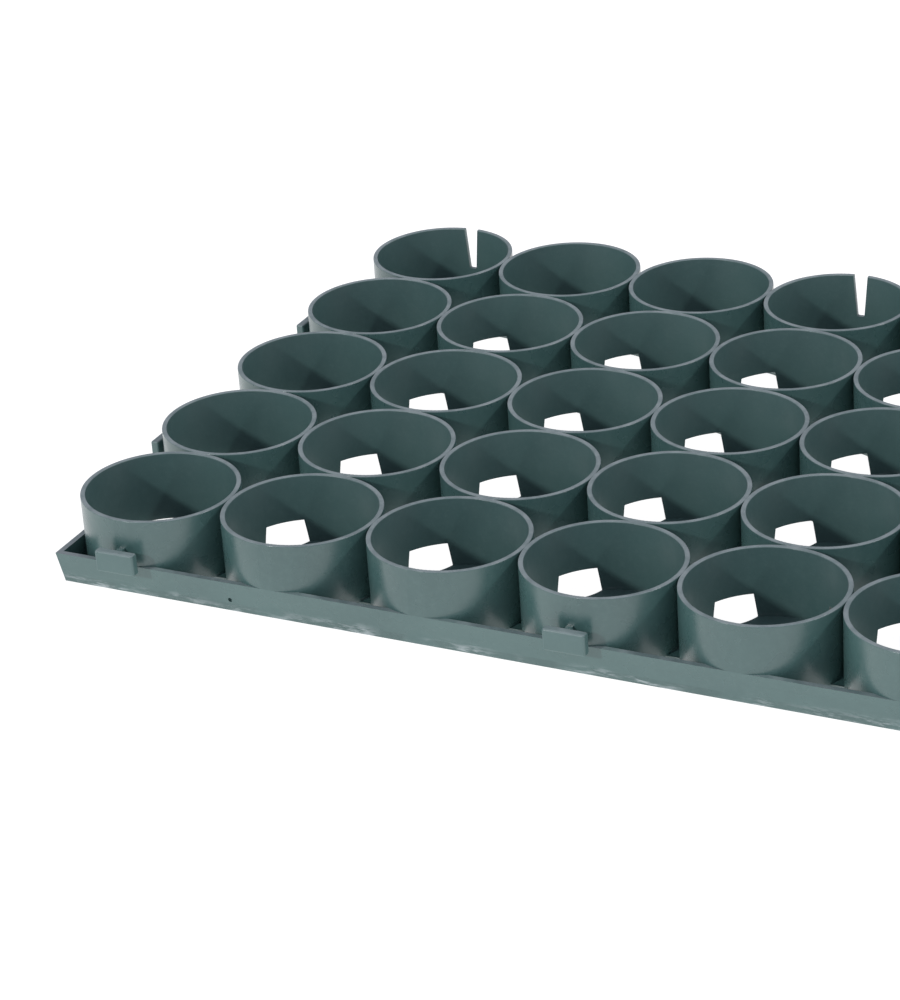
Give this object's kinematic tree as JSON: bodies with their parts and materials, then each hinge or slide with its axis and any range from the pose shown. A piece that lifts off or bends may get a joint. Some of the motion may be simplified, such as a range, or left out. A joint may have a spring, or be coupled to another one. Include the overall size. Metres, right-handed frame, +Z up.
{
  "type": "plug tray",
  "caption": "Rigid rectangular nursery tray of round open cells on a perforated base plate, with a low flared flange, and T lugs and V slots that link trays.",
  "frame": {"origin": "middle of the footprint, on the underside of the base plate", "axes": "+X along the ten columns from left to right, +Y along the five rows from front to rear, +Z up"},
  "size_m": [0.546, 0.276, 0.0275],
  "materials": {
    "moulded_plastic": "semi-gloss moulded, dark blue-green"
  },
  "bodies": {
    "root": {"front_flange": "moulded_plastic", "rear_flange": "moulded_plastic", "left_flange": "moulded_plastic", "right_flange": "moulded_plastic", "cell_a1": "moulded_plastic", "cell_a2": "moulded_plastic", "cell_a3": "moulded_plastic", "cell_a4": "moulded_plastic", "cell_a5": "moulded_plastic", "cell_a6": "moulded_plastic", "cell_a7": "moulded_plastic", "cell_a8": "moulded_plastic", "cell_a9": "moulded_plastic", "cell_a10": "moulded_plastic", "cell_b1": "moulded_plastic", "cell_b2": "moulded_plastic", "cell_b3": "moulded_plastic", "cell_b4": "moulded_plastic", "cell_b5": "moulded_plastic", "cell_b6": "moulded_plastic", "cell_b7": "moulded_plastic", "cell_b8": "moulded_plastic", "cell_b9": "moulded_plastic", "cell_b10": "moulded_plastic", "cell_c1": "moulded_plastic", "cell_c2": "moulded_plastic", "cell_c3": "moulded_plastic", "cell_c4": "moulded_plastic", "cell_c5": "moulded_plastic", "cell_c6": "moulded_plastic", "cell_c7": "moulded_plastic", "cell_c8": "moulded_plastic", "cell_c9": "moulded_plastic", "cell_c10": "moulded_plastic", "cell_d1": "moulded_plastic", "cell_d2": "moulded_plastic", "cell_d3": "moulded_plastic", "cell_d4": "moulded_plastic", "cell_d5": "moulded_plastic", "cell_d6": "moulded_plastic", "cell_d7": "moulded_plastic", "cell_d8": "moulded_plastic", "cell_d9": "moulded_plastic", "cell_d10": "moulded_plastic", "cell_e1": "moulded_plastic", "cell_e2": "moulded_plastic", "cell_e3": "moulded_plastic", "cell_e4": "moulded_plastic", "cell_e5": "moulded_plastic", "cell_e6": "moulded_plastic", "cell_e7": "moulded_plastic", "cell_e8": "moulded_plastic", "cell_e9": "moulded_plastic", "cell_e10": "moulded_plastic", "front_link_lugs": "moulded_plastic", "left_link_lugs": "moulded_plastic"}
  },
  "joints": []
}
